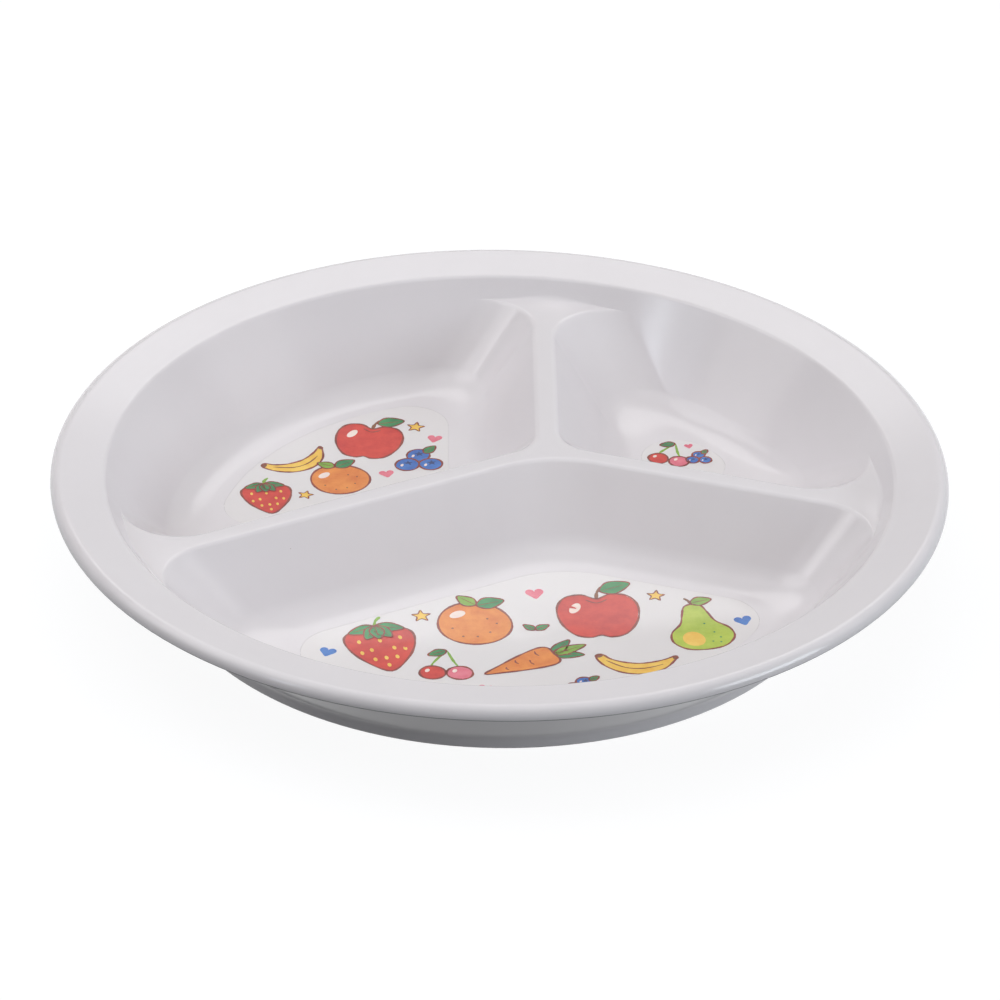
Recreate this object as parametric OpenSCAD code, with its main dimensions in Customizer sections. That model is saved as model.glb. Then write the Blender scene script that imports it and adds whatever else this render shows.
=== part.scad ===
// Round lunch plate with three compartments, moulded in one piece of white
// melamine, with a printed decal foil fused into the floor of each compartment.
// Millimetres, +Z up. The origin is the centre of the foot ring, on the table.
// +X is to the right and +Y to the back when the large compartment is in front.

/* [Plate] */
// Outside diameter of the rim
plate_d = 220; // [180:1:260]
// Height from the table to the top of the rim, as a share of the diameter
plate_h_share = 0.131; // [0.12:0.001:0.155]
// Thickness of the moulding
shell_t = 3; // [2.4:0.1:3.4]

/* [Rim] */
// Width of the rim from its outer edge to the inner crease, as a share of the plate's radius
rim_w_share = 0.12; // [0.09:0.005:0.16]
// How far the crease lies below the top of the rim
rim_drop = 1.9; // [0.8:0.1:2.4]
// Height of the rim's outer face, from the parting edge to the top
lip_h = 3; // [3:0.1:3.6]
// Radius of the roll over the outer edge
lip_r = 2.5; // [1.6:0.1:2.5]
// Radius of the inner crease
crease_r = 1.8; // [1:0.1:4]

/* [Bowl wall] */
// Lean of the bowl wall away from upright, in degrees
wall_lean = 35.5; // [30:0.5:38]
// Radius between the walls and the floors, as a share of the plate's radius
floor_fillet_share = 0.109; // [0.075:0.001:0.118]
// Height of the lowest point of the floors above the table
floor_z = 3; // [2.8:0.1:4]
// Slope of the dished floors where they meet the fillets, in degrees
dish_slope = 4; // [1:0.5:5]

/* [Foot ring] */
// Height of the foot ring's upright outer side
foot_side_h = 3.4; // [2.6:0.1:4.4]
// Width of the foot ring's standing face
foot_w = 3.2; // [2.4:0.1:4.5]
// Depth of the recess inside the foot ring
foot_recess = 0.6; // [0.4:0.1:0.8]

/* [Dividers] */
// How far the crests lie below the top of the rim, as a share of the plate's height
crest_drop_share = 0.236; // [0.2:0.002:0.31]
// Width of a divider across its crest
crest_w = 5; // [4:0.1:6.5]
// Lean of the divider walls away from upright, in degrees
divider_lean = 40; // [34:0.5:42]
// Radius along the edges of the crest
crest_edge_r = 1.3; // [0.6:0.1:2]
// Where the three dividers meet, to the right of the centre, as a share of the plate's radius
hub_x_share = 0.108; // [0.075:0.001:0.118]
// Where the three dividers meet, behind the centre, as a share of the plate's radius
hub_y_share = 0.153; // [0.11:0.001:0.163]
// Direction of the back divider, in degrees from +X
back_dir = 91; // [86:0.5:96]
// Direction of the left divider
left_dir = 208.5; // [204:0.5:212]
// Direction of the right divider
right_dir = 342.7; // [338:0.5:347]

/* [Compartments] */
// Plan radius where a divider flares into the bowl wall, at the crest, as a share of the plate's
flare_share = 0.132; // [0.1:0.002:0.146]
// Plan radius of the front compartment at the hub, as a share of the circle that fits its floor
front_hub_share = 0.97; // [0.6:0.01:1.1]
// The same of the left compartment
left_hub_share = 0.47; // [0.3:0.01:0.7]
// The same of the right compartment
right_hub_share = 0.84; // [0.6:0.01:0.9]
// Plan radius of the front floor's outer corners, as a share of the circle that fits the floor
front_corner_share = 0.36; // [0.25:0.01:0.5]
// The same of the left floor
left_corner_share = 0.52; // [0.4:0.01:0.7]
// The same of the right floor
right_corner_share = 0.92; // [0.7:0.01:0.95]

/* [Decal foils] */
// Thickness of a decal foil with the glaze over it
foil_t = 0.2; // [0.1:0.05:0.3]
// Width of the plain border between a foil and the edge of its floor
foil_border = 2; // [1:0.5:3]
// Gap round the edge of a foil
foil_gap = 0.05; // [0.03:0.01:0.1]

/* [Hidden] */

// Heights and radii that follow from the sizes above
plate_r = plate_d / 2;
plate_h = plate_d * plate_h_share;
rim_w = plate_r * rim_w_share;
floor_fillet = plate_r * floor_fillet_share;
flare_r = plate_r * flare_share;
crest_z = plate_h * (1 - crest_drop_share);
crease_z = plate_h - rim_drop;
parting_z = plate_h - lip_h;
wall_top_r = plate_r - rim_w;
hub = plate_r * [hub_x_share, hub_y_share];
// The moulding as a level line cuts it, in the bowl wall and in a divider
wall_across = shell_t / cos(wall_lean);
divider_across = shell_t / cos(divider_lean);
// Small radii and drafts of the moulding
parting_r = shell_t / 8;
foot_edge_r = foot_w / 4;
foot_draft = foot_side_h / 12;
under_r = shell_t * 1.5;
// Radius at the ends of the hollow under a divider, as a share of its half width
groove_end_share = 0.8;
// How far a cut runs past the face that it opens, and past the crests in a compartment
overrun = shell_t / 3;
crest_overrun = shell_t / 25;
// How far the compartments' walls stand back from the wall above the crests
wall_step = shell_t / 30;

// Steps in which the curves are drawn
round_steps = 7;
hub_steps = 8;
flare_steps = 9;
rim_steps = 30;
edge_steps = 3;
fillet_steps = 6;
end_steps = 6;
// Shares of a foil's reach at which its dish is drawn
dish_shares = [0.72, 0.46, 0.22];
// Shares of the groove's depth at which it is drawn
groove_shares = [0, 0.15, 0.5, 1];

// A compartment: its two dividers, counterclockwise, and its shares at the hub and the corners
front = [left_dir, right_dir, front_hub_share, front_corner_share];
right = [right_dir - 360, back_dir, right_hub_share, right_corner_share];
left = [back_dir, left_dir, left_hub_share, left_corner_share];

// Points, directions and angles in plan
function ray(a) = [cos(a), sin(a)];
function bearing(p) = atan2(p[1], p[0]);
function near(a, ref) = a + 360 * round((ref - a) / 360);
function arc(c, r, from, to, steps) =
    [for (i = [0:steps]) c + r * ray(from + (to - from) * i / steps)];

// An outline of [x, y, radius] corners, each rounded with its own radius
function corner(p, q, s, r) =
    let (u = (p - q) / norm(p - q), v = (s - q) / norm(s - q), half = acos(u * v) / 2,
         c = q + (u + v) / norm(u + v) * r / sin(half), run = r / tan(half),
         start = bearing(q + u * run - c))
    arc(c, r, start, near(bearing(q + v * run - c), start), round_steps);
function plan(p) = [p[0], p[1]];
function rounded(path) = let (n = len(path)) [for (i = [0:n - 1])
    let (q = path[i])
    each q[2] > 0 ? corner(plan(path[(i + n - 1) % n]), plan(q), plan(path[(i + 1) % n]), q[2])
                  : [plan(q)]];

// Bowl wall and divider wall at height z, as straight lines without their fillets
function wall_line(z) = wall_top_r - (crease_z - z) * tan(wall_lean);
function divider_line(z) = crest_w / 2 + (crest_z - z) * tan(divider_lean);
// What a floor fillet adds in front of a wall whose lean is given, rise below its centre
function fillet_run(lean, rise) = rise <= floor_fillet * sin(lean) ? 0
    : floor_fillet / cos(lean) - rise * tan(lean) - sqrt(pow(floor_fillet, 2) - pow(rise, 2));

// Circle that touches both dividers and the bowl wall of a compartment
function half_angle(room) = (room[1] - room[0]) / 2;
function middle(room) = ray((room[0] + room[1]) / 2);
function reach(room, off, outer) =
    let (s = sin(half_angle(room)), k = off / s, m = hub * middle(room),
         a = 1 / (s * s) - 1, b = (m + k) / s + outer, c = hub * hub + 2 * m * k + k * k - outer * outer)
    (sqrt(b * b - a * c) - b) / a;
function centre(room, off, outer) = hub_centre(room, off + reach(room, off, outer));

// Heights of a floor: depth of its dish, its edge, and the centre of its fillets
function flat_run(lean) = fillet_run(lean, floor_fillet);
function dish_depth(room) = tan(dish_slope) / 2 * reach(room,
    divider_line(floor_z) + flat_run(divider_lean), wall_line(floor_z) - flat_run(wall_lean));
function edge_z(room) = floor_z + dish_depth(room);
function fillet_z(room) = edge_z(room) + floor_fillet * cos(dish_slope);

// Distance of the divider wall from a divider's middle, and radius of the bowl wall
function divider_at(room, z) = divider_line(z) + fillet_run(divider_lean, fillet_z(room) - z);
function wall_at(room, z) = wall_line(z) + wall_step - fillet_run(wall_lean, fillet_z(room) - z);

// The circle that fits a floor, and the plan radii that follow from it
function floor_reach(room) = let (z = edge_z(room)) reach(room, divider_at(room, z), wall_at(room, z));
function hub_radius(room) = room[2] * floor_reach(room);
function corner_radius(room) = room[3] * floor_reach(room);

// Centre of an arc that touches the circle of radius outer from inside and lies
// beside a divider's middle line, on its left where side is 1
function corner_centre(dir, side, beside, outer, r) =
    let (u = ray(dir), q = hub + ray(dir + side * 90) * beside, b = q * u)
    q + u * (sqrt(b * b - q * q + pow(outer - r, 2)) - b);

// Point on a compartment's middle line at equal distance from its two dividers
function hub_centre(room, away) = hub + middle(room) * away / sin(half_angle(room));

// Outline of a compartment at one level, from the hub round and back
function room_outline(room, off, outer, hub_r, flare) =
    let (a = room[0], b = room[1],
         ca = corner_centre(a, 1, off + flare, outer, flare),
         cb = corner_centre(b, -1, off + flare, outer, flare),
         fa = near(bearing(ca), a), fb = near(bearing(cb), b), ch = hub_centre(room, off + hub_r))
    concat(arc(ca, flare, a - 90, fa, flare_steps),
           [for (i = [1:rim_steps - 1]) outer * ray(fa + (fb - fa) * i / rim_steps)],
           arc(cb, flare, fb, b + 90, flare_steps),
           arc(ch, hub_r, b + 90, a + 270, hub_steps));

// Levels of a compartment's wall, from just above the crest's rounded edge to the floor's
// edge: each is [height, distance from the divider's middle]. Flats touch the edge's arc.
function edge_levels() =
    let (turn = 90 - divider_lean, back = crest_edge_r * tan(turn / 2), h = turn / edge_steps / 2,
         r = crest_edge_r / cos(h), first = crest_w / 2 - back + r * sin(h))
    concat([[crest_z + crest_overrun, first - crest_overrun / tan(2 * h)]],
           [for (i = [1:edge_steps - 1]) let (t = h * (2 * i + 1))
               [crest_z - crest_edge_r + r * cos(t), crest_w / 2 - back + r * sin(t)]]);
function fillet_levels(room) =
    [for (i = [0:fillet_steps])
        let (t = divider_lean + (90 - dish_slope - divider_lean) * i / fillet_steps,
             z = fillet_z(room) - floor_fillet * sin(t))
        [z, divider_at(room, z)]];
function wall_rings(room) =
    let (low = edge_z(room))
    [for (l = concat(edge_levels(), fillet_levels(room)))
        let (deep = (crest_z - l[0]) / (crest_z - low))
        [for (p = room_outline(room, l[1], wall_at(room, l[0]), hub_radius(room),
                               flare_r + (corner_radius(room) - flare_r) * deep))
            [p[0], p[1], l[0]]]];

// The dished floor: its edge drawn in towards the compartment's centre
function floor_edge(room) = let (z = edge_z(room))
    room_outline(room, divider_at(room, z), wall_at(room, z), hub_radius(room), corner_radius(room));
function floor_centre(room) = let (z = edge_z(room)) centre(room, divider_at(room, z), wall_at(room, z));
function floor_ring(room, share, drop) = let (c = floor_centre(room))
    [for (p = floor_edge(room)) let (q = c + (p - c) * share)
        [q[0], q[1], floor_z + dish_depth(room) * share * share - drop]];
function foil_share(room) = 1 - foil_border / floor_reach(room);

// Skin between two rings of equal length, and a fan that closes a ring round one point
function skin(n, from) = [for (i = [0:n - 1]) let (j = (i + 1) % n)
    each [[from + i, from + j, from + n + j], [from + i, from + n + j, from + n + i]]];
function fan(n, from, eye) = [for (i = [0:n - 1]) [from + i, from + (i + 1) % n, eye]];
function flipped(faces) = [for (f = faces) [f[1], f[0], f[2]]];

// A solid lofted through a list of rings, closed with fans round the plan point eye,
// from which the whole of the first and the last ring must be in sight
module loft(rings, eye) {
    n = len(rings[0]);
    last = n * (len(rings) - 1);
    ends = [for (r = [rings[0], rings[len(rings) - 1]]) [eye[0], eye[1], r[0][2]]];
    polyhedron(points = concat([for (r = rings) each r], ends),
        faces = concat(flipped(fan(n, 0, last + n)), fan(n, last, last + n + 1),
                       [for (k = [0:len(rings) - 2]) each skin(n, n * k)]), convexity = 4);
}

// A compartment with the seat of its foil, as the space to be cut away
module room_space(room) {
    walls = wall_rings(room);
    share = foil_share(room);
    loft(concat(walls, [floor_ring(room, share, 0), floor_ring(room, share, foil_t)],
                [for (s = dish_shares) floor_ring(room, share * s, foil_t)]), floor_centre(room));
}

// A decal foil, flush with the floor round it and dished alike
module foil(room) {
    share = foil_share(room);
    trim = share - foil_gap / floor_reach(room);
    shares = concat([trim], share * dish_shares);
    color([0.97, 0.96, 0.93]) loft(concat(
        [for (i = [len(shares) - 1:-1:0]) floor_ring(room, shares[i], 0)],
        [for (s = shares) floor_ring(room, s, foil_t)]), floor_centre(room));
}

// Section of the plate without its compartments, from the axis out and back
module plate_section() {
    out = plate_r;
    foot_r = wall_line(foot_side_h) + wall_across;
    rim_slope = rim_drop / (rim_w - lip_r);
    under_z = crease_z - shell_t;
    polygon(rounded([
        [0, foot_recess, 0],
        [foot_r - foot_w - foot_draft, foot_recess, foot_draft],
        [foot_r - foot_w, 0, foot_draft],
        [foot_r - foot_draft, 0, foot_edge_r],
        [foot_r, foot_side_h, under_r],
        [wall_line(under_z) + wall_across, under_z, under_r],
        [out, parting_z, parting_r],
        [out, plate_h + lip_r * rim_slope, lip_r],
        [wall_top_r, crease_z, crease_r],
        [wall_line(crest_z), crest_z, 0],
        [0, crest_z, 0]]));
}

// Hollow under the dividers at one level: a strip along each divider, rounded where it
// ends inside the bowl wall, and a rounded corner from each strip to the next
function groove_ring(z) =
    let (off = divider_line(z) - divider_across, outer = wall_line(z), r = off * groove_end_share)
    [for (room = [front, right, left]) let (
        dir = room[0], hub_r = hub_radius(room) + divider_across,
        cr = corner_centre(dir, -1, off - r, outer, r), cl = corner_centre(dir, 1, off - r, outer, r))
        for (p = concat(arc(cr, r, dir - 90, near(bearing(cr), dir), end_steps),
                        arc(cl, r, near(bearing(cl), dir), dir + 90, end_steps),
                        arc(hub_centre(room, off + hub_r), hub_r, dir + 270, room[1] + 90, hub_steps)))
            [p[0], p[1], z]];
module groove_space() {
    low = foot_recess - overrun;
    high = crest_z - shell_t;
    loft([for (s = groove_shares) groove_ring(high + (low - high) * s)], hub);
}

module plate_body() {
    color([0.93, 0.92, 0.92]) difference() {
        rotate_extrude($fn = 180) plate_section();
        for (room = [front, left, right]) room_space(room);
        groove_space();
    }
}
module decal_foil_front() { foil(front); }
module decal_foil_left() { foil(left); }
module decal_foil_right() { foil(right); }

plate_body();
decal_foil_front();
decal_foil_left();
decal_foil_right();
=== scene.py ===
# Looks of the divided compartment plate: one moulding of white melamine with a printed foil
# in the floor of each of its three compartments.
# Blender works in metres. The plate's sizes are in millimetres, as in its CAD source, and MM
# turns them into metres where a mesh is made. Angles are in degrees, and directions run
# counterclockwise from +X.

import math
import random
from collections import defaultdict

import bmesh
import bpy
from mathutils import Matrix, Vector
from mathutils.bvhtree import BVHTree


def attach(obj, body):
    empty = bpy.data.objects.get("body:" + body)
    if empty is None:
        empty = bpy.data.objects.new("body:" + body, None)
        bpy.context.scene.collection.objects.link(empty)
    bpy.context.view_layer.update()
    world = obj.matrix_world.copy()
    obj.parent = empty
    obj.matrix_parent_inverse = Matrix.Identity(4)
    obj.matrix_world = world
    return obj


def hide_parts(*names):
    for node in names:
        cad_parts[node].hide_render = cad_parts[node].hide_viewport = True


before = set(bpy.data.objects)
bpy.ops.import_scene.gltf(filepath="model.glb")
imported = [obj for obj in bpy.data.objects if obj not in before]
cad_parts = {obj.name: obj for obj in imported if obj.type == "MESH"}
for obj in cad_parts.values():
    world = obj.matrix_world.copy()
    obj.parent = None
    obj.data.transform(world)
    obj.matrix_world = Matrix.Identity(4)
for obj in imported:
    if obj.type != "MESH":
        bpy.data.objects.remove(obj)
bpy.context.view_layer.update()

MM = 0.001
rng = random.Random(7)


def sin(a):
    return math.sin(math.radians(a))


def cos(a):
    return math.cos(math.radians(a))


def tan(a):
    return math.tan(math.radians(a))


def ray(a):
    return Vector((cos(a), sin(a)))


def turning(a):
    return Matrix.Rotation(math.radians(a), 2)


def bearing(p):
    return math.degrees(math.atan2(p[1], p[0]))


def near(a, ref):
    """The angle a with full turns added, so that it lies within half a turn of ref."""
    return a + 360 * round((ref - a) / 360)


def arc(centre, r, start, end, steps):
    return [centre + r * ray(start + (end - start) * i / steps) for i in range(steps + 1)]


# Camera, solved from the rim, the foot ring and the three dividers in the photograph. It looks at
# the plate's middle from CAM_DISTANCE metres away and is then turned by three small angles.
FOCAL_PX = 4500.636
IMAGE_PX = 1000.0
SENSOR_W = 36.0
CAM_ELEVATION = 32.23327
CAM_DISTANCE = 1.119397
CAM_CLIP_START = 0.01
CAM_YAW = -0.0083575
CAM_PITCH = 0.7421797
CAM_ROLL = -0.874153


def make_camera():
    high, level = sin(CAM_ELEVATION), cos(CAM_ELEVATION)
    axes = [Vector((1, 0, 0)), Vector((0, high, level)), Vector((0, level, -high))]
    for k, angle in ((1, CAM_YAW), (0, CAM_PITCH), (2, CAM_ROLL)):
        turn = Matrix.Rotation(math.radians(angle), 3, axes[k])
        axes = [turn @ axis for axis in axes]
    right, up, forward = axes
    data = bpy.data.cameras.new("camera")
    data.sensor_width = SENSOR_W
    data.lens = SENSOR_W * FOCAL_PX / IMAGE_PX
    data.clip_start = CAM_CLIP_START
    obj = bpy.data.objects.new("camera", data)
    turn = Matrix((right, up, -forward)).transposed().to_4x4()
    obj.matrix_world = Matrix.Translation((0, -CAM_DISTANCE * level, CAM_DISTANCE * high)) @ turn
    bpy.context.collection.objects.link(obj)
    bpy.context.scene.camera = obj


make_camera()

# Sizes of the plate. They are the CAD source's, apart from CREST_EDGE_R, which is larger here,
# FOIL_GAP, which is smaller, and FOIL_BEVEL, which the CAD source hasn't.
PLATE_R = 110.0
PLATE_H = 2 * PLATE_R * 0.131
SHELL_T = 3.0
RIM_W = PLATE_R * 0.12
RIM_DROP = 1.9
LIP_H = 3.0
LIP_R = 2.5
CREASE_R = 1.8
WALL_LEAN = 35.5
FLOOR_FILLET = PLATE_R * 0.109
FLOOR_Z = 3.0
DISH_SLOPE = 4.0
FOOT_SIDE_H = 3.4
FOOT_W = 3.2
FOOT_EDGE_R = FOOT_W / 4
FOOT_RECESS = 0.6
FOOT_DRAFT = FOOT_SIDE_H / 12
CREST_Z = PLATE_H * (1 - 0.236)
CREST_W = 5.0
CREST_EDGE_R = 2.0
DIVIDER_LEAN = 40.0
HUB = Vector((PLATE_R * 0.108, PLATE_R * 0.153))
BACK_DIR, LEFT_DIR, RIGHT_DIR = 91.0, 208.5, 342.7
FLARE_R = PLATE_R * 0.132
FOIL_T = 0.2
FOIL_BORDER = 2.0
FOIL_GAP = 0.02
FOIL_BEVEL = 0.03
CREASE_Z = PLATE_H - RIM_DROP
PARTING_Z = PLATE_H - LIP_H
PARTING_R = SHELL_T / 8
UNDER_R = SHELL_T * 1.5
WALL_TOP_R = PLATE_R - RIM_W
# Each compartment: its two dividers, and its radii at the hub and in the outer corners of
# the floor as shares of the circle that fits the floor
ROOMS = {
    "front": (LEFT_DIR, RIGHT_DIR, 0.97, 0.36),
    "right": (RIGHT_DIR - 360, BACK_DIR, 0.84, 0.92),
    "left": (BACK_DIR, LEFT_DIR, 0.47, 0.52),
}

# Where a crest runs into the bowl wall it rises in a long shallow ramp and then rolls up into the
# wall. The ramp's length grows from the cusps at the two sides of the crest's end, with the square
# of the distance, towards RAMP_LONGEST. RAMP_R, RAMP_TURN and ROLL_R are the radii and the turn of
# its form alone, which is then scaled to its length.
RAMP_LONGEST = 9.0
RAMP_GROWTH = 0.024
RAMP_R = 8.0
RAMP_TURN = 6.5
ROLL_R = 0.45
ROLL_TOP = CREST_Z + 2.2
# Share of the way up to ROLL_TOP that the ramp's rings take where there is no ramp
PLAIN_SHARE = 0.75

# The hollow under the dividers: the radius at its ends as a share of its half width, the radius
# of its mouth, and the height and turn of its rounded crown
GROOVE_END_SHARE = 0.8
GROOVE_MOUTH_R = 1.2
GROOVE_CROWN = 1.2
GROOVE_CROWN_TURN = 62.0

# Steps in which the curves are drawn, finer than in the CAD source
FLARE_STEPS = 20
RIM_STEPS = 56
HUB_STEPS = 20
EDGE_STEPS = 7
SIDE_STEPS = 7
FILLET_STEPS = 14
CREST_END_STEPS = 30
RAMP_STEPS = 3
ROLL_STEPS = 7
GROOVE_END_STEPS = 8
GROOVE_HUB_STEPS = 14
GROOVE_SIDE_STEPS = 5
GROOVE_ROUND_STEPS = 5
LONGEST_FACE = 4.0
SEAT_SHARES = (1.0, 0.84, 0.68, 0.52, 0.36, 0.2, 0.08)
FOIL_SHARES = (0.92, 0.84, 0.72, 0.6, 0.48, 0.36, 0.24, 0.12)
FOIL_UNDER_SHARE = 0.5
# Edges that turn more than this are drawn sharp
SHARP_ANGLE = 34


# The compartments, as in the CAD source
def wall_line(z):
    """Radius of the bowl wall at height z."""
    return WALL_TOP_R - (CREASE_Z - z) * tan(WALL_LEAN)


def divider_line(z):
    """Distance of a divider's side from its middle plane at height z."""
    return CREST_W / 2 + (CREST_Z - z) * tan(DIVIDER_LEAN)


def fillet_run(lean, rise):
    """How far the floor's fillet stands off a leaning side, at the depth rise below its centre."""
    if rise <= FLOOR_FILLET * sin(lean):
        return 0.0
    return FLOOR_FILLET / cos(lean) - rise * tan(lean) - math.sqrt(max(FLOOR_FILLET**2 - rise**2, 0.0))


def corner_centre(direction, side, beside, outer, r):
    """Centre of a corner of radius r, at the distance beside from a divider's middle plane, that
    touches the circle of radius outer."""
    u = ray(direction)
    q = HUB + ray(direction + side * 90) * beside
    b = q.dot(u)
    return q + u * (math.sqrt(b * b - q.dot(q) + (outer - r) ** 2) - b)


class Room:
    """A compartment between the dividers a and b, counterclockwise."""

    def __init__(self, a, b, hub_share, corner_share):
        self.a, self.b = a, b
        self.half = (self.b - self.a) / 2
        self.middle = ray((self.a + self.b) / 2)
        off = divider_line(FLOOR_Z) + fillet_run(DIVIDER_LEAN, FLOOR_FILLET)
        outer = wall_line(FLOOR_Z) - fillet_run(WALL_LEAN, FLOOR_FILLET)
        self.dish = tan(DISH_SLOPE) / 2 * self.reach(off, outer)
        self.edge_z = FLOOR_Z + self.dish
        self.fillet_z = self.edge_z + FLOOR_FILLET * cos(DISH_SLOPE)
        off, outer = self.divider_at(self.edge_z), self.wall_at(self.edge_z)
        self.floor_reach = self.reach(off, outer)
        self.floor_centre = self.hub_centre(off + self.floor_reach)
        self.hub_r = hub_share * self.floor_reach
        self.corner_r = corner_share * self.floor_reach
        self.floor_edge = self.outline(self.edge_z)
        self.foil_share = 1 - FOIL_BORDER / self.floor_reach

    def reach(self, off, outer):
        """Radius of the circle that touches both dividers and the bowl wall."""
        # Its centre is as far from the plate's middle as the wall, less the radius r. This gives
        # a * r * r + 2 * b * r + c = 0.
        s = sin(self.half)
        k, m = off / s, HUB.dot(self.middle)
        a, b = 1 / (s * s) - 1, (m + k) / s + outer
        c = HUB.dot(HUB) + 2 * m * k + k * k - outer * outer
        return (math.sqrt(b * b - a * c) - b) / a

    def hub_centre(self, away):
        """Point on the compartment's middle line at the distance away from both middle planes."""
        return HUB + self.middle * away / sin(self.half)

    def divider_at(self, z):
        return divider_line(z) + fillet_run(DIVIDER_LEAN, self.fillet_z - z)

    def wall_at(self, z):
        return wall_line(z) - fillet_run(WALL_LEAN, self.fillet_z - z)

    def outline(self, z, off=None):
        """Plan outline at height z, from one flare along the bowl wall to the other and round the hub."""
        off = self.divider_at(z) if off is None else off
        outer = self.wall_at(z)
        deep = (CREST_Z - z) / (CREST_Z - self.edge_z)
        flare = FLARE_R + (self.corner_r - FLARE_R) * deep
        flare_a = corner_centre(self.a, 1, off + flare, outer, flare)
        flare_b = corner_centre(self.b, -1, off + flare, outer, flare)
        start, end = near(bearing(flare_a), self.a), near(bearing(flare_b), self.b)
        hub_middle = self.hub_centre(off + self.hub_r)
        return (
            arc(flare_a, flare, self.a - 90, start, FLARE_STEPS)
            + [outer * ray(start + (end - start) * i / RIM_STEPS) for i in range(1, RIM_STEPS)]
            + arc(flare_b, flare, end, self.b + 90, FLARE_STEPS)
            + arc(hub_middle, self.hub_r, self.b + 90, self.a + 270, HUB_STEPS)
        )

    def floor_ring(self, share, drop):
        """The floor's edge drawn in to a share of its size, on the dish, lowered by drop."""
        z = FLOOR_Z + self.dish * share * share - drop
        c = self.floor_centre
        return [(*(c + (p - c) * share), z) for p in self.floor_edge]


rooms = {name: Room(*facts) for name, facts in ROOMS.items()}


class Builder:
    """A mesh in the making. A ring is a list of its vertices, counterclockwise from above."""

    def __init__(self):
        self.bm = bmesh.new()

    def vertex(self, p):
        return self.bm.verts.new((p[0] * MM, p[1] * MM, p[2] * MM))

    def ring(self, points):
        return [self.vertex(p) for p in points]

    def skin(self, upper, lower, closed=True):
        n = len(upper)
        for i in range(n if closed else n - 1):
            j = (i + 1) % n
            self.bm.faces.new((upper[i], upper[j], lower[j], lower[i]))

    def skins(self, rings, rising=False, closed=True):
        for one, two in zip(rings, rings[1:]):
            upper, lower = (two, one) if rising else (one, two)
            self.skin(upper, lower, closed)

    def fan(self, ring, point):
        middle = self.vertex(point)
        for i in range(len(ring)):
            self.bm.faces.new((ring[i], ring[(i + 1) % len(ring)], middle))

    def edges(self, ring):
        """The edges round a ring, made where they don't exist yet."""
        pairs = [(v, ring[(i + 1) % len(ring)]) for i, v in enumerate(ring)]
        return [self.bm.edges.get(pair) or self.bm.edges.new(pair) for pair in pairs]

    def finish(self, name, slot, angle=None, replaces=()):
        mesh = bpy.data.meshes.new(name)
        self.bm.normal_update()
        self.bm.to_mesh(mesh)
        self.bm.free()
        for poly in mesh.polygons:
            poly.use_smooth = True
        if angle is not None:
            mesh.set_sharp_from_angle(angle=math.radians(angle))
        obj = bpy.data.objects.new(name, mesh)
        bpy.context.collection.objects.link(obj)
        if angle is not None:
            normals = obj.modifiers.new("weighted normals", "WEIGHTED_NORMAL")
            normals.mode = "FACE_AREA_WITH_ANGLE"
            normals.keep_sharp = True
        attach(obj, "root")
        if replaces:
            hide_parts(*replaces)
        return obj


# The body's revolved profile
def rounded_corner(p, q, s, r, steps):
    """The corner at q between its neighbours p and s, rounded with radius r."""
    p, q, s = Vector(p), Vector(q), Vector(s)
    u, v = (p - q).normalized(), (s - q).normalized()
    half = math.acos(max(-1.0, min(1.0, u.dot(v)))) / 2
    c = q + (u + v).normalized() * r / math.sin(half)
    run = r / math.tan(half)
    start = bearing(q + u * run - c)
    end = near(bearing(q + v * run - c), start)
    return arc(c, r, start, end, steps)


def between(out, target):
    """Adds points along a straight run, so that no face of the revolve is long and thin."""
    last = out[-1]
    n = int((target - last).length / LONGEST_FACE)
    for i in range(1, n + 1):
        out.append(last + (target - last) * i / (n + 1))


def outer_profile():
    """Outward from the bowl wall over the rim and down round the foot ring to the recess."""
    wall_across = SHELL_T / cos(WALL_LEAN)
    foot_r = wall_line(FOOT_SIDE_H) + wall_across
    rim_slope = RIM_DROP / (RIM_W - LIP_R)
    under_z = CREASE_Z - SHELL_T
    # Corners, each with its radius and steps. The first and last only give directions.
    corners = [
        ((wall_line(CREST_Z), CREST_Z), 0, 0),
        ((WALL_TOP_R, CREASE_Z), CREASE_R, 8),
        ((PLATE_R, PLATE_H + LIP_R * rim_slope), LIP_R, 14),
        ((PLATE_R, PARTING_Z), PARTING_R, 4),
        ((wall_line(under_z) + wall_across, under_z), UNDER_R, 8),
        ((foot_r, FOOT_SIDE_H), UNDER_R, 7),
        ((foot_r - FOOT_DRAFT, 0), FOOT_EDGE_R, 5),
        ((foot_r - FOOT_W, 0), FOOT_DRAFT, 3),
        ((foot_r - FOOT_W - FOOT_DRAFT, FOOT_RECESS), FOOT_DRAFT, 3),
        ((0, FOOT_RECESS), 0, 0),
    ]
    out = []
    for before, (corner, r, steps), after in zip(corners, corners[1:], corners[2:]):
        points = rounded_corner(before[0], corner, after[0], r, steps)
        if out:
            between(out, points[0])
        out += points
    return out


# The ramps at the crests' ends
def soft_least(a, b, power):
    """The lesser of two values, with a smooth change from one to the other."""
    return (a**-power + b**-power) ** (-1 / power)


def ramp_length(f, span):
    """Length of the ramp at the share f of a crest's end that spans the angle span."""
    reach = math.radians(span) * wall_line(CREST_Z)
    from_cusp = soft_least(f * reach, (1 - f) * reach, 6)
    return soft_least(RAMP_GROWTH * from_cusp * from_cusp, RAMP_LONGEST, 4)


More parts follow.
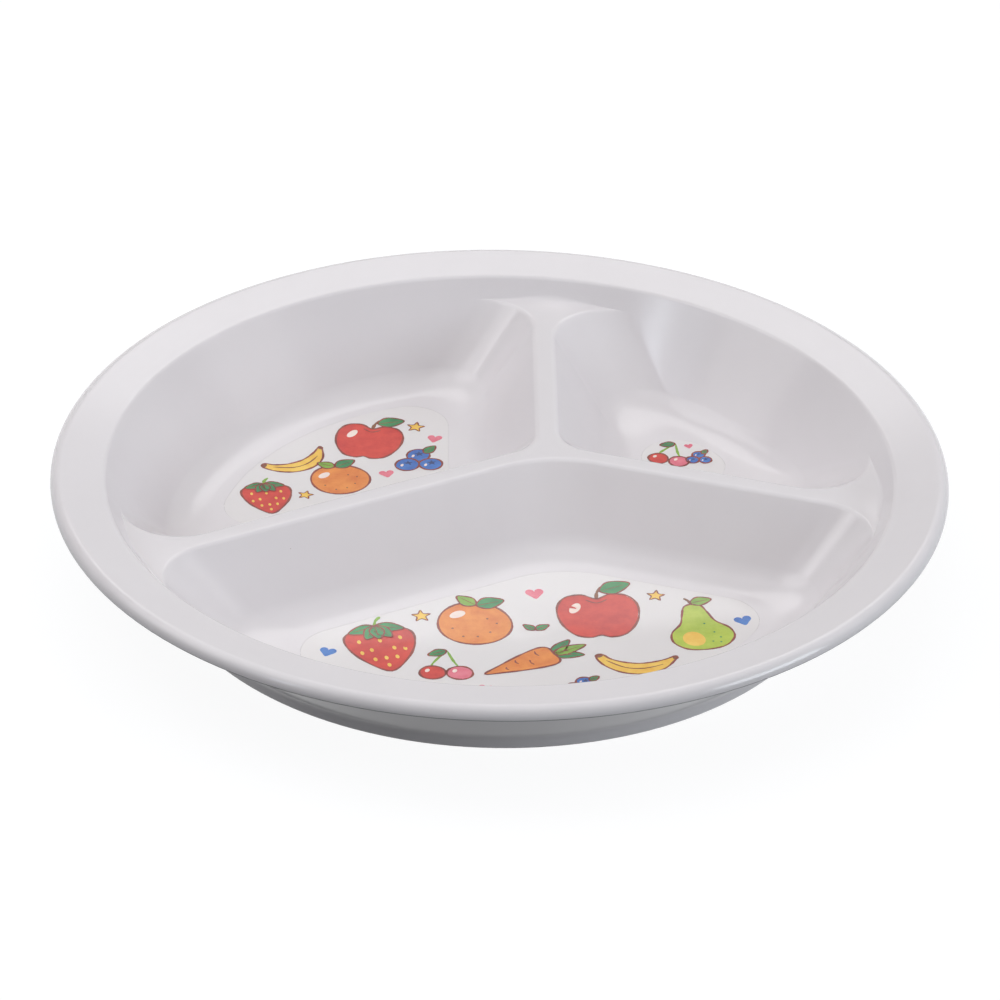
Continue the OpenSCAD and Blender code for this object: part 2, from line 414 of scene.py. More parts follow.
def ramp_profile():
    """Points of a ramp 1 mm long, from the crest's face to the bowl wall: run and rise."""
    points = []
    for i in range(RAMP_STEPS + 1):
        t = RAMP_TURN * i / RAMP_STEPS
        points.append(Vector((RAMP_R * sin(t), RAMP_R * (1 - cos(t)))))
    foot = points[-1]
    for i in range(1, ROLL_STEPS + 1):
        t = RAMP_TURN + (90 - WALL_LEAN - RAMP_TURN) * i / ROLL_STEPS
        points.append(foot + ROLL_R * Vector((sin(t) - sin(RAMP_TURN), cos(RAMP_TURN) - cos(t))))
    length = points[-1].x - points[-1].y * tan(WALL_LEAN)
    return [Vector((p.x - length, p.y)) / length for p in points]


# Parts of the body
def compartment_levels(room):
    """Heights of the rings down a compartment's sides. In the crest's rounded edge each comes
    with its distance from the divider's middle plane."""
    turn = 90 - DIVIDER_LEAN
    edge = CREST_W / 2 - CREST_EDGE_R * tan(turn / 2)
    levels = []
    for i in range(EDGE_STEPS + 1):
        t = turn * i / EDGE_STEPS
        levels.append((CREST_Z - CREST_EDGE_R + CREST_EDGE_R * cos(t), edge + CREST_EDGE_R * sin(t)))
    high = levels[-1][0]
    low = room.fillet_z - FLOOR_FILLET * sin(DIVIDER_LEAN)
    levels += [(high + (low - high) * i / SIDE_STEPS, None) for i in range(1, SIDE_STEPS)]
    for i in range(FILLET_STEPS + 1):
        t = DIVIDER_LEAN + (90 - DISH_SLOPE - DIVIDER_LEAN) * i / FILLET_STEPS
        levels.append((room.fillet_z - FLOOR_FILLET * sin(t), None))
    return levels


def compartment(body, room):
    """Sides, fillet and floor of a compartment, with the seat of its foil. Gives its top ring."""
    rings = [body.ring([(*p, z) for p in room.outline(z, off)]) for z, off in compartment_levels(room)]
    rings.append(body.ring(room.floor_ring((1 + room.foil_share) / 2, 0)))
    rings.append(body.ring(room.floor_ring(room.foil_share, 0)))
    rings += [body.ring(room.floor_ring(room.foil_share * s, FOIL_T)) for s in SEAT_SHARES]
    body.skins(rings)
    body.fan(rings[-1], (*room.floor_centre, FLOOR_Z - FOIL_T))
    return rings[0]


def revolve_columns(top_rings):
    """Columns of the revolve: direction, vertex at the crests' height and length of the ramp. The
    compartments' own vertices along the wall have no ramp, and the crests' ends between them have
    no vertex yet."""
    columns = []
    names = list(top_rings)
    for name, following in zip(names, names[1:] + names[:1]):
        rim = top_rings[name][FLARE_STEPS : FLARE_STEPS + RIM_STEPS + 1]
        columns += [(bearing(v.co), v, 0.0) for v in rim]
        start = bearing(rim[-1].co)
        end = near(bearing(top_rings[following][FLARE_STEPS].co), start)
        for i in range(1, CREST_END_STEPS):
            f = (1 - math.cos(math.pi * i / CREST_END_STEPS)) / 2
            columns.append((start + (end - start) * f, None, ramp_length(f, end - start)))
    return columns


def crest_ends(body, columns):
    """The rings from the crests' height up to ROLL_TOP, with the ramps at the crests' ends."""
    points = ramp_profile()
    rings = [[] for _ in range(len(points) + 1)]
    for angle, vertex, length in columns:
        u = ray(angle)
        for j, p in enumerate(points):
            if j == 0 and vertex is not None:
                rings[0].append(vertex)
                continue
            if length:
                r, z = wall_line(CREST_Z) + p.x * length, CREST_Z + p.y * length
            else:
                z = CREST_Z + (ROLL_TOP - CREST_Z) * PLAIN_SHARE * j / (len(points) - 1)
                r = wall_line(z)
            rings[j].append(body.vertex((*(u * r), z)))
        rings[-1].append(body.vertex((*(u * wall_line(ROLL_TOP)), ROLL_TOP)))
    body.skins(rings, rising=True)
    return rings


def crest_face(body, top_rings, ring):
    """The crests' top face, between the compartments' top rings and the ring along the wall."""
    outline = []
    at = 0
    for top in top_rings.values():
        # From this compartment's first flare round the hub to its second flare
        inner = top[FLARE_STEPS + RIM_STEPS :] + top[: FLARE_STEPS + 1]
        at += RIM_STEPS + 1
        outline += list(reversed(inner)) + ring[at : at + CREST_END_STEPS - 1]
        at += CREST_END_STEPS - 1
    return body.bm.faces.new(outline)


def revolve(body, columns, ring):
    """Bowl wall, rim, lip, underside and foot ring, from the ring at ROLL_TOP. Gives the last ring."""
    profile = outer_profile()
    path = [Vector((wall_line(ROLL_TOP), ROLL_TOP))]
    between(path, profile[0])
    for r, z in path[1:] + profile:
        following = body.ring([(*(ray(angle) * r), z) for angle, _, _ in columns])
        body.skin(following, ring)
        ring = following
    return ring


def groove_outline(off, outer, hub_across):
    """Plan outline of the hollow under the dividers."""
    r = off * GROOVE_END_SHARE
    out = []
    for room in rooms.values():
        hub_r = room.hub_r + hub_across
        right_end = corner_centre(room.a, -1, off - r, outer, r)
        left_end = corner_centre(room.a, 1, off - r, outer, r)
        hub_middle = room.hub_centre(off + hub_r)
        out += arc(right_end, r, room.a - 90, near(bearing(right_end), room.a), GROOVE_END_STEPS)
        out += arc(left_end, r, near(bearing(left_end), room.a), room.a + 90, GROOVE_END_STEPS)
        out += arc(hub_middle, hub_r, room.a + 270, room.b + 90, GROOVE_HUB_STEPS)
    return out


def groove_levels(across):
    """Heights of the hollow's rings, with their distances from the middle planes and from the
    plate's middle: a rounded mouth, the sides, and a rounded crown."""
    turn = 90 - DIVIDER_LEAN
    mouth = GROOVE_MOUTH_R
    levels = []
    for i in range(GROOVE_ROUND_STEPS + 1):
        t = turn * i / GROOVE_ROUND_STEPS
        extra = mouth * tan(turn / 2) - mouth * sin(t)
        off, outer = divider_line(FOOT_RECESS) - across + extra, wall_line(FOOT_RECESS) + extra
        levels.append((FOOT_RECESS + mouth * (1 - cos(t)), off, outer))
    start = levels[-1][0]
    crown = CREST_Z - SHELL_T - GROOVE_CROWN
    for i in range(1, GROOVE_SIDE_STEPS + 1):
        z = start + (crown - start) * i / GROOVE_SIDE_STEPS
        levels.append((z, divider_line(z) - across, wall_line(z)))
    side = divider_line(crown) - across
    for i in range(1, GROOVE_ROUND_STEPS + 1):
        t = GROOVE_CROWN_TURN * i / GROOVE_ROUND_STEPS
        outer = wall_line(crown) - (side - side * cos(t))
        levels.append((crown + GROOVE_CROWN * sin(t), side * cos(t), outer))
    return levels


def groove_rings(body):
    across = SHELL_T / cos(DIVIDER_LEAN)
    levels = groove_levels(across)
    return [body.ring([(*p, z) for p in groove_outline(off, outer, across)]) for z, off, outer in levels]


def mark_painted_lip_shade(body):
    """Painted shade: the faces along the lip's lower edge take the body's second material, a dark tone
    that stands in for the shade under the lip.
    """
    for face in body.bm.faces:
        c = face.calc_center_median() / MM
        if c.xy.length > PLATE_R - PARTING_R and c.z < PARTING_Z + PARTING_R:
            face.material_index = 1


def build_shell():
    body = Builder()
    top_rings = {name: compartment(body, room) for name, room in rooms.items()}
    columns = revolve_columns(top_rings)
    wall_rings = crest_ends(body, columns)
    crests = crest_face(body, top_rings, wall_rings[0])
    foot_inner = revolve(body, columns, wall_rings[-1])
    hollow = groove_rings(body)
    recess_edges = body.edges(foot_inner) + body.edges(hollow[0])
    body.skins(hollow, rising=True)
    flat = [crests, body.bm.faces.new(hollow[-1])]
    for face in flat:
        face.normal_update()
    bmesh.ops.triangulate(body.bm, faces=flat, ngon_method="EAR_CLIP")
    bmesh.ops.triangle_fill(body.bm, use_beauty=True, use_dissolve=False, edges=recess_edges)
    bmesh.ops.recalc_face_normals(body.bm, faces=body.bm.faces)
    # Painted shade along the lip's lower edge
    mark_painted_lip_shade(body)
    return body.finish("plate_shell", "white_melamine", SHARP_ANGLE, replaces=("plate_body",))


def build_foil(name):
    """A foil, flush with the floor round it, with a fine bevel round its top."""
    room = rooms[name]
    foil = Builder()
    trim = room.foil_share - FOIL_GAP / room.floor_reach
    edge = trim - FOIL_BEVEL / room.floor_reach
    rings = [foil.ring(room.floor_ring(trim, FOIL_BEVEL)), foil.ring(room.floor_ring(edge, 0))]
    rings += [foil.ring(room.floor_ring(edge * s, 0)) for s in FOIL_SHARES]
    foil.skins(rings)
    foil.fan(rings[-1], (*room.floor_centre, FLOOR_Z))
    under = foil.ring(room.floor_ring(trim, FOIL_T))
    under_middle = foil.ring(room.floor_ring(trim * FOIL_UNDER_SHARE, FOIL_T))
    foil.skin(under, rings[0])
    foil.skin(under_middle, under)
    foil.bm.faces.new(list(reversed(under_middle)))
    bmesh.ops.recalc_face_normals(foil.bm, faces=foil.bm.faces)
    return foil.finish("foil_" + name, "printed_foil", SHARP_ANGLE, replaces=("decal_foil_" + name,))


shell = build_shell()
foils = {name: build_foil(name) for name in rooms}


# Materials. The scale of a texture is the number of its cells to a metre.
BLACK, WHITE = (0.0, 0.0, 0.0, 1.0), (1.0, 1.0, 1.0, 1.0)
SPECK_COLOUR = (0.42, 0.38, 0.34, 1.0)
GLAZE_IOR = 1.5
INK_ROUGHNESS = (0.11, 0.17)


class Tree:
    """The nodes of a material or of the world."""

    def __init__(self, owner):
        owner.use_nodes = True
        self.nodes, self.links = owner.node_tree.nodes, owner.node_tree.links

    def put(self, node, inputs):
        """Gives a node its inputs, each a value or another node's output."""
        for socket, value in inputs.items():
            if isinstance(value, bpy.types.NodeSocket):
                self.links.new(value, node.inputs[socket])
            else:
                node.inputs[socket].default_value = value

    def add(self, kind, inputs=None, **settings):
        node = self.nodes.new("ShaderNode" + kind)
        for setting, value in settings.items():
            setattr(node, setting, value)
        self.put(node, inputs or {})
        return node.outputs

    def maths(self, operation, *values):
        return self.add("Math", dict(enumerate(values)), operation=operation)[0]

    def noise(self, coord, scale, detail=2.0, rough=0.5):
        inputs = {"Vector": coord, "Scale": scale, "Detail": detail, "Roughness": rough}
        return self.add("TexNoise", inputs)["Fac"]

    def blend(self, value, low, low_colour, high, high_colour):
        """low_colour up to the value low, high_colour from the value high, and a blend between."""
        node = self.nodes.new("ShaderNodeValToRGB")
        first, last = node.color_ramp.elements
        first.position, first.color = low, low_colour
        last.position, last.color = high, high_colour
        self.put(node, {"Fac": value})
        return node.outputs["Color"]

    def spread(self, value, low, high):
        """A value from 0 to 1, spread from low to high."""
        return self.add("MapRange", {"Value": value, "To Min": low, "To Max": high})["Result"]


def new_material(name):
    mat = bpy.data.materials.new(name)
    return mat, Tree(mat)


def melamine(name, light, dark, roughness):
    """Moulded melamine: faint cloudy mottling, a few pressed-in specks and fine polishing marks."""
    mat, tree = new_material(name)
    coord = tree.add("TexCoord")["Object"]
    cloud = tree.noise(coord, scale=55.0, detail=4.0, rough=0.55)
    tint = tree.blend(cloud, 0.3, dark, 0.7, light)
    cell = tree.add("TexVoronoi", {"Vector": coord, "Scale": 170.0})["Distance"]
    outside_speck = tree.blend(cell, 0.012, BLACK, 0.03, WHITE)
    outside_patch = tree.blend(tree.noise(coord, scale=23.0, detail=1.0), 0.30, BLACK, 0.34, WHITE)
    plain = tree.maths("MAXIMUM", outside_speck, outside_patch)
    colour = tree.add("Mix", {"Factor": plain, "A": SPECK_COLOUR, "B": tint}, data_type="RGBA")
    wear = tree.noise(coord, scale=320.0, detail=3.0, rough=0.6)
    ripple = tree.noise(coord, scale=130.0)
    bump = tree.add("Bump", {"Height": ripple, "Strength": 0.02, "Distance": 0.4 * MM})
    inputs = {
        "Base Color": colour["Result"],
        "Roughness": tree.spread(wear, roughness * 0.8, roughness * 1.25),
        "Normal": bump["Normal"],
        "IOR": GLAZE_IOR,
    }
    tree.put(tree.nodes["Principled BSDF"], inputs)
    return mat


def ink_material(name, colour, deep):
    """Printed ink under the glaze, laid on unevenly like a wash of water colour."""
    mat, tree = new_material(name)
    coord = tree.add("TexCoord")["Object"]
    wash = tree.noise(coord, scale=170.0, detail=5.0, rough=0.65)
    inputs = {
        "Base Color": tree.blend(wash, 0.32, (*deep, 1.0), 0.62, (*colour, 1.0)),
        "Roughness": tree.spread(tree.noise(coord, scale=500.0), *INK_ROUGHNESS),
        "IOR": GLAZE_IOR,
    }
    tree.put(tree.nodes["Principled BSDF"], inputs)
    return mat


# Each finish: its lighter and darker tone, and its roughness
FINISHES = {
    "white_melamine": ((0.78, 0.742, 0.762, 1.0), (0.765, 0.727, 0.747, 1.0), 0.14),
    # Painted shade: a dark tone laid along the lip's lower edge in place of the shade under the lip
    "painted_lip_shade": ((0.30, 0.29, 0.30, 1.0), (0.22, 0.21, 0.22, 1.0), 0.5),
    "glazed_foil": ((0.80, 0.766, 0.768, 1.0), (0.787, 0.753, 0.755, 1.0), 0.12),
}
finishes = {name: melamine(name, *facts) for name, facts in FINISHES.items()}
# The second material is the painted shade under the lip
for finish in ("white_melamine", "painted_lip_shade"):
    shell.data.materials.append(finishes[finish])
for foil in foils.values():
    foil.data.materials.append(finishes["glazed_foil"])


# Print on the foils: generic pictures of fruit and vegetables with small hearts, stars and
# leaves. Each is drawn in millimetres about its own middle, and is turned and scaled when placed.
OUTLINE_W = 0.52
# Rise from one layer of ink to the next, and a height above every foil from which ink is laid down
INK_LIFT = 0.006
ABOVE = 50.0
FILL_SHARES = (1.0, 0.75, 0.5, 0.25)


def mirrored(side):
    """A closed loop from its right half, whose first and last points are on the middle line."""
    return side + [(-x, y) for x, y in reversed(side[1:-1])]


def mean(points):
    return sum((Vector(p) for p in points), Vector((0, 0))) / len(points)


def smooth(points, closed=True, per=5):
    """Rounds a list of points with a Catmull-Rom curve."""
    pts = [Vector(p) for p in points]
    n = len(pts)
    out = []
    for i in range(n if closed else n - 1):
        if closed:
            a, b, c, d = (pts[(i + k - 1) % n] for k in range(4))
        else:
            a, b, c, d = pts[max(i - 1, 0)], pts[i], pts[i + 1], pts[min(i + 2, n - 1)]
        for j in range(per):
            t = j / per
            square, cube = 2 * a - 5 * b + 4 * c - d, 3 * b - a - 3 * c + d
            out.append(0.5 * (2 * b + (c - a) * t + square * t * t + cube * t**3))
    if not closed:
        out.append(pts[-1])
    return out


def oval(x, y, rx, ry, turn=0.0, steps=26, wobble=0.02):
    phase = rng.uniform(0, 6)
    out = []
    for i in range(steps):
        t = 2 * math.pi * i / steps
        k = 1 + wobble * math.sin(2 * t + phase) + wobble * 0.6 * math.sin(3 * t + 2 * phase)
        out.append(Vector((rx * k * math.cos(t), ry * k * math.sin(t))))
    return [turning(turn) @ p + Vector((x, y)) for p in out]


def heart_loop(r):
    side = [(0, -1.0), (0.55, -0.45), (1.0, 0.15), (0.92, 0.68), (0.5, 0.88), (0.12, 0.68), (0, 0.42)]
    return smooth([(x * r, y * r) for x, y in mirrored(side)], per=4)


def star_loop(x, y, r, points=5, inner=0.48):
    out = []
    for i in range(points * 2):
        k = r if i % 2 == 0 else r * inner
        out.append((x + k * cos(90 + 180 * i / points), y + k * sin(90 + 180 * i / points)))
    return smooth(out, per=3)


def leaf_loop(x, y, length, width, turn):
    points = smooth([(0, 0), (0.28, 0.5), (0.62, 0.48), (1.0, 0.0), (0.62, -0.42), (0.28, -0.46)])
    return [Vector((x, y)) + turning(turn) @ Vector((p.x * length, p.y * width)) for p in points]


def pencil(i, phase):
    """Half the width of a soft pencil's line at its point i, as a share of the line's width."""
    return 0.5 + 0.11 * math.sin(i * 0.9 + phase) + 0.06 * math.sin(i * 2.3 + phase)


class Print:
    """The inks of one compartment, laid on its foil. A higher layer lies over a lower one."""

    def __init__(self, name):
        self.name = name
        mesh = foils[name].data
        places, faces = [v.co for v in mesh.vertices], [p.vertices for p in mesh.polygons]
        self.tree = BVHTree.FromPolygons(places, faces, epsilon=1e-7)
        self.inks = defaultdict(Builder)

    def place(self, x, y, scale, turn):
        """Where the next picture goes."""
        self.at, self.scale, self.turn = Vector((x, y)), scale, turning(turn)

    def put(self, p, layer):
        q = self.turn @ Vector(p) * self.scale + self.at
        hit = self.tree.ray_cast(Vector((q.x * MM, q.y * MM, ABOVE * MM)), Vector((0, 0, -1)))[0]
        if hit is None:
            raise ValueError(f"{self.name}: a picture reaches past its foil at {q.x:.1f}, {q.y:.1f}")
        return (q.x, q.y, hit.z / MM + INK_LIFT * (layer + 1))

    def fill(self, ink, loop, layer=0, middle=None):
        film = self.inks[ink]
        c = Vector(middle) if middle else mean(loop)
        rings = []
        for k in FILL_SHARES:
            rings.append(film.ring([self.put(c + (Vector(p) - c) * k, layer) for p in loop]))
        film.skins(rings)
        film.fan(rings[-1], self.put(c, layer))

    def stroke(self, path, width=OUTLINE_W, closed=False, layer=3, ink="outline"):
        """A line whose width varies a little, as from a soft pencil, and thins at its ends."""
        film = self.inks[ink]
        n = len(path)
        phase = rng.uniform(0, 6)
        left, middle, right = [], [], []
        for i, p in enumerate(path):
            before = path[(i - 1) % n] if closed else path[max(i - 1, 0)]
            after = path[(i + 1) % n] if closed else path[min(i + 1, n - 1)]
            along = (Vector(after) - Vector(before)).normalized()
            half = width / self.scale * pencil(i, phase)
            if not closed:
                half *= min(1.0, 0.35 + 0.4 * min(i, n - 1 - i))
            side = Vector((-along.y, along.x)) * half
            left.append(Vector(p) + side)
            middle.append(Vector(p))
            right.append(Vector(p) - side)
        rows = [film.ring([self.put(p, layer) for p in row]) for row in (left, middle, right)]
        film.skins(rows[::-1], closed=closed)

    def curve(self, points, width, layer=3, ink="outline"):
        self.stroke(smooth(points, closed=False), width, layer=layer, ink=ink)

    def shape(self, ink, loop, layer=0, width=OUTLINE_W, middle=None):
        """A filled shape with its outline. The colour doesn't quite meet the line everywhere."""
        c = mean(loop)
        shift = Vector((rng.uniform(-0.1, 0.1), rng.uniform(-0.1, 0.1)))
        self.fill(ink, [c + (Vector(p) - c) * 0.985 + shift for p in loop], layer, middle)
        self.stroke(loop, width, closed=True, layer=layer + 2)

    def dots(self, ink, rx, ry, steps, places):
        for x, y in places:
            self.fill(ink, oval(x, y, rx, ry, steps=steps), 1)

    def leaf(self, x, y, length, width, turn, ink="green", layer=4):
        """A leaf with its middle vein, from its stalk at x, y."""
        self.shape(ink, leaf_loop(x, y, length, width, turn), layer, width=0.42)
        d = turning(turn) @ Vector((length * 0.8, 0))
        vein = [(x, y), (x + d.x * 0.5, y + d.y * 0.5), (x + d.x, y + d.y)]
        self.stroke(vein, 0.3, layer=layer + 3)

    def finish(self):
        for ink, film in self.inks.items():
            obj = film.finish(f"print_{self.name}_{ink}", "printed_foil")
            obj.data.materials.append(inks[ink])

    # Pictures
    def apple(self):
        side = [(0, 6.6), (3.2, 8.3), (7.0, 7.4), (9.0, 3.5)]
        side += [(8.5, -2.3), (5.7, -7.2), (2.3, -8.4), (0, -7.6)]
        self.curve([(0, 6.4), (0.3, 9.0), (1.5, 11.2)], 0.85, ink="bark")
        self.leaf(1.0, 9.4, 7.4, 4.4, 22)
        self.shape("red", smooth(mirrored(side)), 1)
        self.fill("glint", oval(-5.0, 3.2, 1.1, 2.1, -24), 2)
        self.curve([(-2.4, 6.3), (0, 5.0), (2.4, 6.3)], 0.36)

    def pear(self):
        side = [(0, 12), (2.3, 11.1), (3.5, 7.6), (4.8, 3.2)]
        side += [(7.9, -0.8), (8.3, -5.4), (5.2, -9.3), (0, -10.4)]
        self.curve([(0, 11.6), (-0.4, 13.4), (-1.6, 15.0)], 0.85, ink="bark")
        self.leaf(-0.2, 12.6, 6.0, 3.6, 8, "leaf")
        self.shape("lime", smooth(mirrored(side)), middle=(0, -3.4))
        self.fill("yellow", oval(-2.6, -4.6, 3.0, 3.6, 15), 1)
        places = [(3.4, -2.2), (4.6, -5.0), (2.2, -6.6), (1.6, 2.4), (4.2, -7.4)]
        self.dots("green", 0.32, 0.32, 8, places)

    def orange(self):
        self.leaf(-0.4, 6.6, 6.2, 3.8, 28)
        self.leaf(-0.6, 6.8, 5.0, 3.2, 150, "leaf")
        self.shape("orange", oval(0, 0, 8.0, 7.6, 0, 34))
        self.fill("glint", oval(-4.0, 2.8, 1.9, 1.1, 40), 1)
        places = [(3.6, -2.6), (1.2, -4.6), (4.6, 0.8), (-1.8, -5.0), (-4.4, -2.4), (2.4, 2.2)]
        self.dots("bark", 0.26, 0.26, 8, places)

    def strawberry(self):
        side = [(0, 6.2), (3.9, 7.0), (7.2, 4.6), (7.0, 0.0), (4.4, -5.2), (0, -9.4)]
        self.shape("red", smooth(mirrored(side)))
        seeds = [(-4.4, 2.6), (0, 2.4), (4.4, 2.8), (-2.4, -0.8), (2.4, -0.8), (-4.6, -1.6)]
        seeds += [(4.6, -1.4), (0, -4.2), (0, -7.0), (-2.4, -4.4), (2.3, -4.2)]
        self.dots("yellow", 0.42, 0.72, 10, seeds)
        for k, (turn, length) in enumerate(((196, 6.2), (344, 6.2), (238, 5.2), (302, 5.2), (270, 4.6))):
            self.leaf(0, 7.6, length, 3.0, turn, layer=4 + 2 * k)
        self.curve([(0, 7.2), (0.4, 9.2), (1.8, 10.8)], 0.8, ink="leaf")

    def cherries(self):
        for x, y, ink in ((-4.9, -5.0, "red"), (4.9, -6.2, "pink")):
            self.curve([(x, y + 4.2), (x * 0.72, 2.0), (2.0, 9.4)], 0.62, 0, "leaf")
            self.shape(ink, oval(x, y, 4.7, 4.5), 1)
            self.fill("glint", oval(x - 1.7, y + 1.6, 0.8, 1.2, -30), 2)
        self.leaf(1.8, 9.2, 7.4, 4.2, 200)

    def banana(self):
        outer = [(-9.6, 4.6), (-8.2, 0.2), (-4.4, -3.9), (1.0, -5.6), (6.2, -4.2), (9.8, -0.6)]
        inner = [(10.2, 1.0), (6.4, -0.2), (1.4, -0.6), (-3.0, 0.8), (-6.2, 3.2), (-7.8, 5.6)]
        loop = smooth(outer + inner)
        pairs = [(loop[i], loop[-1 - i]) for i in range(len(loop) // 2)]
        film = self.inks["yellow"]
        rows = []
        for k in (0.0, 0.25, 0.5, 0.75, 1.0):
            rows.append(film.ring([self.put(one.lerp(other, k), 0) for one, other in pairs]))
        film.skins(rows, closed=False)
        self.stroke(loop, closed=True, layer=2)
        self.curve([(-7.4, 2.6), (-3.4, -1.6), (1.2, -3.0), (6.2, -2.2)], 0.34)
        self.fill("bark", oval(-8.7, 5.2, 1.2, 0.9, 20, 14), 1)
        self.fill("bark", oval(10.0, 0.2, 0.8, 0.8, 0, 12), 1)

    def blueberries(self):
        self.leaf(2.6, 5.0, 6.0, 3.8, 48)
        for k, (x, y, r) in enumerate(((0.3, 4.0, 4.1), (-4.0, -1.8, 4.2), (4.1, -2.6, 4.0))):
            self.shape("blue", oval(x, y, r, r * 0.96), 3 * k)
            self.fill("navy", star_loop(x + 0.4, y + 0.9, 1.7), 3 * k + 1)
            self.fill("glint", oval(x - 1.8, y - 0.2, 0.5, 0.9, -20, 12), 3 * k + 1)

    def carrot(self):
        side = [(0, 6.4), (2.6, 6.4), (3.7, 4.4), (3.0, -0.6), (1.5, -6.2), (0, -10.6)]
        self.leaf(0, 5.8, 7.0, 2.8, 118, layer=0)
        self.leaf(0, 5.8, 8.4, 2.8, 90, "leaf", layer=2)
        self.leaf(0, 5.8, 7.0, 2.8, 62, layer=0)
        self.shape("orange", smooth(mirrored(side)), 6)
        for x, y, w in ((-1.9, 3.2, 2.0), (0.6, 0.6, 2.0), (-1.0, -2.2, 1.6), (0.3, -5.2, 1.2)):
            self.curve([(x - w / 2, y), (x, y - 0.3), (x + w / 2, y)], 0.36, layer=8)

    def heart(self, ink="pink", r=2.2):
        self.fill(ink, heart_loop(r), middle=(0, 0.1 * r))

    def blue_heart(self):
        self.heart("blue")

    def star(self, r=2.4):
        self.shape("yellow", star_loop(0, 0, r), width=0.34)

    def sprig(self):
        self.leaf(0, 0, 4.6, 2.6, 35)
        self.leaf(0, 0, 4.2, 2.4, 145, layer=6)


# What stands where: picture, x, y, scale and turn
LAYOUT = {
    "front": [
        ("strawberry", -27.5, -46.0, 1.15, 14),
        ("orange", -5.5, -35.0, 1.15, -6),
        ("carrot", 7.5, -51.0, 1.12, -60),
        ("apple", 24.5, -30.5, 1.1, 4),
        ("pear", 49.0, -36.0, 0.9, 10),
        ("banana", 33.5, -51.0, 0.95, 12),
        ("cherries", -12.5, -53.0, 0.66, 8),
        ("heart", 9.0, -21.5, 1.0, 10),
        ("blue_heart", -40.5, -49.0, 0.9, -14),
        ("star", -18.5, -32.5, 1.0, 8),
        ("star", 38.5, -21.8, 0.95, -6),
        ("sprig", 9.2, -37.0, 0.85, 0),
        ("blue_heart", 59.5, -32.5, 0.95, 16),
        ("star", -27.0, -61.0, 0.8, 14),
        ("heart", -2.5, -63.5, 0.9, -8),
        ("blueberries", 20.5, -61.5, 0.5, -6),
    ],
    "left": [
        ("apple", -34.0, 50.5, 0.95, -8),
        ("blueberries", -20.9, 40.9, 0.74, 6),
        ("banana", -51.8, 40.0, 0.88, 49),
        ("orange", -40.5, 31.5, 0.95, 10),
        ("strawberry", -58.5, 22.0, 0.85, 12),
        ("star", -22.0, 58.0, 1.0, -10),
        ("heart", -28.8, 34.6, 0.85, 12),
        ("star", -49.0, 23.6, 0.85, -12),
        ("heart", -17.0, 52.0, 0.85, -12),
    ],
    "right": [
        ("cherries", 43.6, 46.8, 0.55, -6),
        ("blueberries", 51.0, 44.8, 0.4, 4),
        ("heart", 48.6, 50.6, 0.5, 10),
    ],
}

# Each ink's full and deep tone, in levels from 0 to 255
INK_TONES = {
    "outline": ((150, 66, 50), (112, 36, 30)),
    "bark": ((140, 84, 48), (112, 60, 36)),
    "red": ((218, 62, 46), (196, 40, 34)),
    "orange": ((238, 146, 60), (220, 116, 42)),
    "yellow": ((250, 208, 92), (240, 184, 62)),
    "green": ((58, 148, 84), (36, 118, 66)),
    "leaf": ((140, 182, 60), (112, 158, 44)),
    "lime": ((190, 208, 70), (166, 188, 48)),
    "blue": ((66, 124, 202), (44, 92, 176)),
    "navy": ((38, 66, 128), (30, 50, 104)),
    "pink": ((236, 130, 146), (222, 96, 120)),
    "glint": ((250, 232, 222), (246, 218, 208)),
}


def linear(levels):
    """A screen colour in levels from 0 to 255 as the linear values that a shader takes."""
    shares = [level / 255 for level in levels]
    return tuple(s / 12.92 if s <= 0.04045 else ((s + 0.055) / 1.055) ** 2.4 for s in shares)


inks = {}
for ink_name, (full, deep) in INK_TONES.items():
    inks[ink_name] = ink_material("ink_" + ink_name, linear(full), linear(deep))

for room_name, items in LAYOUT.items():
    sheet = Print(room_name)
    for picture, x, y, scale, turn in items:
        sheet.place(x, y, scale, turn)
        getattr(sheet, picture)()
    sheet.finish()


# Table, world and lamps, in metres
TABLE_HALF = 3.0
TABLE_GLOW = 0.92
TABLE_PAINT = (0.125, 0.13, 0.14, 1)
# Light that the studio gives to matt surfaces from the right, from the left and from above
FILLS = (("X", "MAXIMUM", 0.22), ("X", "MINIMUM", -0.16), ("Z", "MAXIMUM", 0.2))
NEUTRAL, COOL, COOLER = (1.0, 1.0, 1.0), (0.86, 0.94, 1.0), (0.84, 0.92, 1.0)
# Each lamp faces the plate's middle: place, width and height, power and tone
LAMPS = {
    "softbox": ((0.0, 0.95, 0.98), (1.05, 0.52), 2.9, NEUTRAL),
    "ceiling": ((0.0, 0.0, 2.4), (3.5, 3.5), 17.5, NEUTRAL),
    "overhead": ((0.0, 0.0, 1.3), (0.6, 0.45), 0.8, NEUTRAL),
    "overhead_left": ((-0.75, 0.15, 1.1), (0.8, 0.7), 3.0, NEUTRAL),
    "left": ((-1.1, 0.0, 0.75), (0.6, 0.5), 1.3, NEUTRAL),
    "right": ((1.1, 0.0, 0.75), (0.6, 0.5), 0.75, NEUTRAL),
    "right_low": ((1.1, -0.5, 0.35), (0.6, 0.5), 5.6, COOL),
    "front_left": ((-0.95, -0.55, 0.72), (0.45, 0.5), 1.0, COOLER),
    "front_left_core": ((-0.98, -0.72, 0.86), (0.16, 0.24), 0.6, COOLER),
}


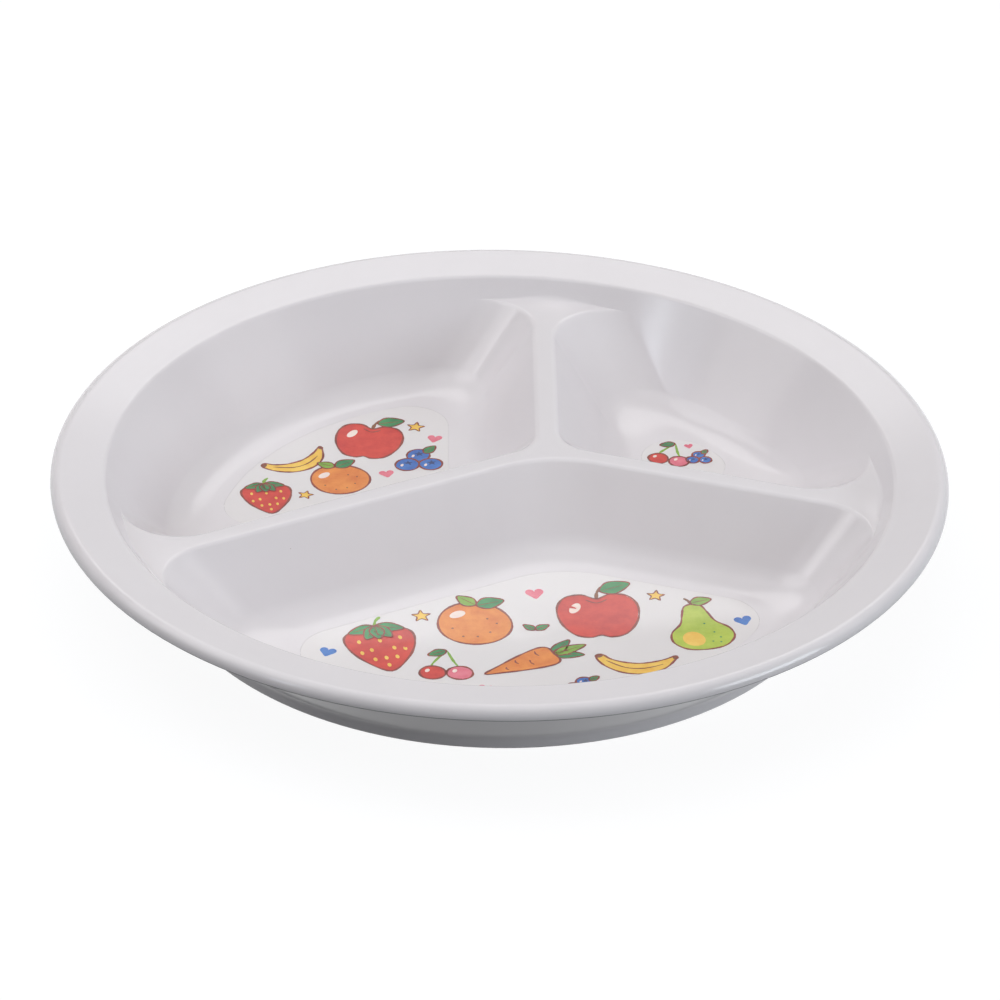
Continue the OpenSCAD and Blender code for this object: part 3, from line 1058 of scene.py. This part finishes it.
def seen_directly(tree):
    """1 for rays that show the background, seen, mirrored or through glass, and 0 for the rest."""
    path = tree.add("LightPath")
    seen = tree.maths("MAXIMUM", path["Is Camera Ray"], path["Is Glossy Ray"])
    return tree.maths("MAXIMUM", seen, path["Is Transmission Ray"])


def make_table():
    """A pale table top that shows white and keeps the plate's shadow."""
    mesh = bpy.data.meshes.new("table_top")
    s = TABLE_HALF
    mesh.from_pydata([(-s, -s, 0), (s, -s, 0), (s, s, 0), (-s, s, 0)], [], [(0, 1, 2, 3)])
    obj = bpy.data.objects.new("table_top", mesh)
    bpy.context.collection.objects.link(obj)
    mat, tree = new_material("table_top")
    tree.nodes.remove(tree.nodes["Principled BSDF"])
    power = tree.maths("MULTIPLY", seen_directly(tree), TABLE_GLOW)
    glow = tree.add("Emission", {"Color": WHITE, "Strength": power})
    paint = tree.add("BsdfDiffuse", {"Color": TABLE_PAINT})
    both = tree.add("AddShader", {0: glow[0], 1: paint[0]})
    tree.put(tree.nodes["Material Output"], {"Surface": both[0]})
    mesh.materials.append(mat)


def make_world():
    """White where it is seen directly, and a fill by direction for matt surfaces."""
    world = bpy.data.worlds.new("studio")
    tree = Tree(world)
    way = tree.add("SeparateXYZ", {0: tree.add("TexCoord")["Generated"]})
    fill = 0.0
    for axis, operation, share in FILLS:
        fill = tree.maths("MULTIPLY_ADD", tree.maths(operation, way[axis], 0.0), share, fill)
    strength = tree.spread(seen_directly(tree), fill, 1.0)
    tree.put(tree.nodes["Background"], {"Color": WHITE, "Strength": strength})
    bpy.context.scene.world = world


def make_lamp(name, place, size, power, tone):
    data = bpy.data.lights.new(name, "AREA")
    data.color = tone
    data.shape = "RECTANGLE"
    data.size, data.size_y = size
    data.energy = power
    obj = bpy.data.objects.new(name, data)
    obj.location = place
    obj.rotation_euler = (-Vector(place)).to_track_quat("-Z", "Y").to_euler()
    bpy.context.collection.objects.link(obj)


make_table()
make_world()
for lamp_name, facts in LAMPS.items():
    make_lamp(lamp_name, *facts)
bpy.context.scene.view_settings.view_transform = "Standard"
